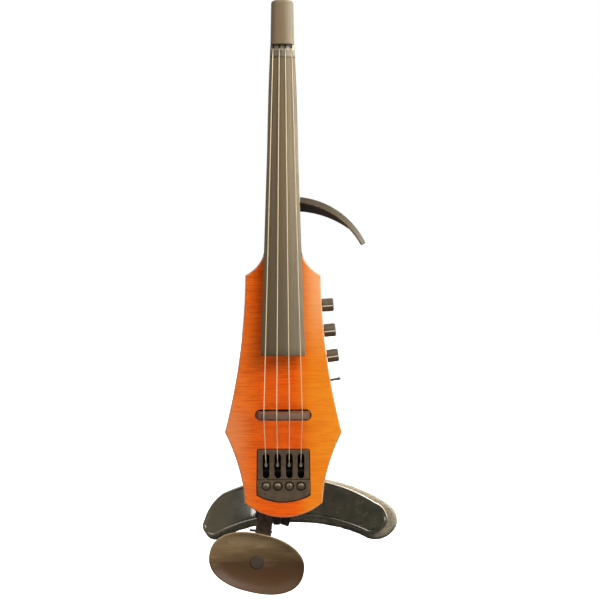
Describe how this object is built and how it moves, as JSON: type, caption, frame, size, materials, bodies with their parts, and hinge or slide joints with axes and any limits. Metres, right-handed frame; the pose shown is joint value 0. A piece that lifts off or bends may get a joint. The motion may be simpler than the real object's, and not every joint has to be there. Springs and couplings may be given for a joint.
{
  "type": "electric violin",
  "caption": "Headless electric violin with flamed maple body, tail-end tuners, side arm, adjustable chin rest and shoulder rest, and side controls.",
  "frame": {"origin": "outer face of the back cover, on the centreline, level with the bridge", "axes": "+Z along the strings towards the head, -Y out of the strings' side, +X towards the E string's side"},
  "size_m": [0.1886, 0.1065, 0.5438],
  "materials": {
    "flamed_maple": "clear gloss over flamed maple",
    "neck_paint": "satin dark paint",
    "ebony": "satin ebony",
    "nut": "satin",
    "string_steel": "wound string",
    "bridge_wood": "satin dark wood",
    "pickup_brass": "satin",
    "tuner_metal": "dark satin",
    "steel": "satin",
    "chrome": "polished",
    "knob_black": "satin",
    "circuit_board": "solder mask",
    "battery": "printed sleeve",
    "cover_black": "fine texture",
    "arm_black": "satin gloss",
    "bracket_metal": "dark satin",
    "ribbed_metal": "fine ribs",
    "chin_wood": "satin lacquer",
    "plug_grey": "satin",
    "gloss_black": "high gloss",
    "foam": "dense foam"
  },
  "bodies": {
    "root": {"body": "flamed_maple", "neck": "neck_paint", "fingerboard": "ebony", "nut": "nut", "headpiece": "neck_paint", "headpiece_screw": "steel", "string_g": "string_steel", "string_d": "string_steel", "string_a": "string_steel", "string_e": "string_steel", "bridge": "bridge_wood", "bridge_pickup": "pickup_brass", "tuner_frame": "tuner_metal", "tuner_end_block": "tuner_metal", "tuner_axle": "steel", "tuner_screw_1": "steel", "tuner_screw_2": "steel", "tuner_screw_3": "steel", "tuner_screw_4": "steel", "back_cover": "cover_black", "cover_screw_1": "steel", "cover_screw_2": "steel", "cover_screw_3": "steel", "cover_screw_4": "steel", "volume_control_body": "steel", "bass_control_body": "steel", "treble_control_body": "steel", "toggle_switch_body": "steel", "output_jack": "steel", "preamp_board": "circuit_board", "battery": "battery", "side_arm_strip": "arm_black", "side_arm_rib": "arm_black", "side_arm_screw_1": "steel", "side_arm_screw_2": "steel", "tail_bracket": "bracket_metal", "bracket_screw_1": "steel", "bracket_screw_2": "steel"},
    "spindle_1": {"tuner_spindle_1": "tuner_metal"},
    "lever_1": {"tuner_lever_1": "tuner_metal"},
    "spindle_2": {"tuner_spindle_2": "tuner_metal"},
    "lever_2": {"tuner_lever_2": "tuner_metal"},
    "spindle_3": {"tuner_spindle_3": "tuner_metal"},
    "lever_3": {"tuner_lever_3": "tuner_metal"},
    "spindle_4": {"tuner_spindle_4": "tuner_metal"},
    "lever_4": {"tuner_lever_4": "tuner_metal"},
    "volume_knob": {"volume_knob": "knob_black"},
    "bass_knob": {"bass_knob": "knob_black"},
    "treble_knob": {"treble_knob": "knob_black"},
    "toggle": {"toggle_lever": "chrome"},
    "chinrest_bar": {"chinrest_bar": "ribbed_metal", "chinrest_pin": "steel"},
    "chinrest_arm": {"chinrest_arm": "bracket_metal"},
    "chinrest_plate": {"chinrest_plate": "chin_wood", "chinrest_screw": "plug_grey"},
    "shoulder_post": {"shoulder_post": "steel"},
    "shoulder_yoke": {"shoulder_yoke": "bracket_metal"},
    "shoulder_rest": {"shoulder_rest_shell": "gloss_black", "shoulder_rest_pad": "foam"},
    "lock_lever": {"lock_lever": "bracket_metal"}
  },
  "joints": [
    {"name": "spindle_1_turn", "type": "hinge", "parent": "root", "child": "spindle_1", "pos_m": [-0.01605, -0.025, -0.0656], "axis": [0, 1, 0], "range_deg": [-450, 450]},
    {"name": "lever_1_rock", "type": "hinge", "parent": "root", "child": "lever_1", "pos_m": [-0.01605, -0.02, -0.052], "axis": [1, 0, 0], "range_deg": [-5, 5]},
    {"name": "spindle_2_turn", "type": "hinge", "parent": "root", "child": "spindle_2", "pos_m": [-0.00535, -0.025, -0.0656], "axis": [0, 1, 0], "range_deg": [-450, 450]},
    {"name": "lever_2_rock", "type": "hinge", "parent": "root", "child": "lever_2", "pos_m": [-0.00535, -0.02, -0.052], "axis": [1, 0, 0], "range_deg": [-5, 5]},
    {"name": "spindle_3_turn", "type": "hinge", "parent": "root", "child": "spindle_3", "pos_m": [0.00535, -0.025, -0.0656], "axis": [0, 1, 0], "range_deg": [-450, 450]},
    {"name": "lever_3_rock", "type": "hinge", "parent": "root", "child": "lever_3", "pos_m": [0.00535, -0.02, -0.052], "axis": [1, 0, 0], "range_deg": [-5, 5]},
    {"name": "spindle_4_turn", "type": "hinge", "parent": "root", "child": "spindle_4", "pos_m": [0.01605, -0.025, -0.0656], "axis": [0, 1, 0], "range_deg": [-450, 450]},
    {"name": "lever_4_rock", "type": "hinge", "parent": "root", "child": "lever_4", "pos_m": [0.01605, -0.02, -0.052], "axis": [1, 0, 0], "range_deg": [-5, 5]},
    {"name": "volume_knob_turn", "type": "hinge", "parent": "root", "child": "volume_knob", "pos_m": [0.03551, -0.014, 0.1009], "axis": [0.9982, 0, 0.0602], "range_deg": [-150, 150]},
    {"name": "bass_knob_turn", "type": "hinge", "parent": "root", "child": "bass_knob", "pos_m": [0.0374, -0.014, 0.0772], "axis": [0.9951, 0, 0.0991], "range_deg": [-150, 150]},
    {"name": "treble_knob_turn", "type": "hinge", "parent": "root", "child": "treble_knob", "pos_m": [0.04023, -0.014, 0.0535], "axis": [0.9904, 0, 0.1381], "range_deg": [-150, 150]},
    {"name": "toggle_flick", "type": "hinge", "parent": "root", "child": "toggle", "pos_m": [0.03979, -0.014, 0.0307], "axis": [0, 1, 0], "range_deg": [-10, 10]},
    {"name": "chinrest_slide", "type": "slide", "parent": "root", "child": "chinrest_bar", "axis": [-0.1045, 0, -0.9945], "range_m": [-0.006, 0.006]},
    {"name": "chinrest_tilt", "type": "hinge", "parent": "chinrest_bar", "child": "chinrest_arm", "pos_m": [-0.01932, 0.0082, -0.11219], "axis": [0.9945, 0, -0.1045], "range_deg": [-8, 8]},
    {"name": "chinrest_turn", "type": "hinge", "parent": "chinrest_arm", "child": "chinrest_plate", "pos_m": [-0.0245, -0.0365, -0.1342], "axis": [0, 1, 0], "range_deg": [-20, 20]},
    {"name": "shoulder_height", "type": "slide", "parent": "root", "child": "shoulder_post", "axis": [0, 1, 0], "range_m": [0, 0.006]},
    {"name": "shoulder_swivel", "type": "hinge", "parent": "shoulder_post", "child": "shoulder_yoke", "pos_m": [0.014, 0.0094, -0.086], "axis": [0, 1, 0], "range_deg": [-15, 15]},
    {"name": "shoulder_tilt", "type": "hinge", "parent": "shoulder_yoke", "child": "shoulder_rest", "pos_m": [0.014, 0.017, -0.086], "axis": [1, 0, 0], "range_deg": [-8, 8]},
    {"name": "lock_lever_turn", "type": "hinge", "parent": "root", "child": "lock_lever", "pos_m": [-0.0026, 0.0112, -0.0858], "axis": [0, 1, 0], "range_deg": [0, 30]}
  ],
  "couplings": [
    {"joint": "lever_1_rock", "follows": "spindle_1_turn", "ratio": 0.0111},
    {"joint": "lever_2_rock", "follows": "spindle_2_turn", "ratio": 0.0111},
    {"joint": "lever_3_rock", "follows": "spindle_3_turn", "ratio": 0.0111},
    {"joint": "lever_4_rock", "follows": "spindle_4_turn", "ratio": 0.0111}
  ]
}
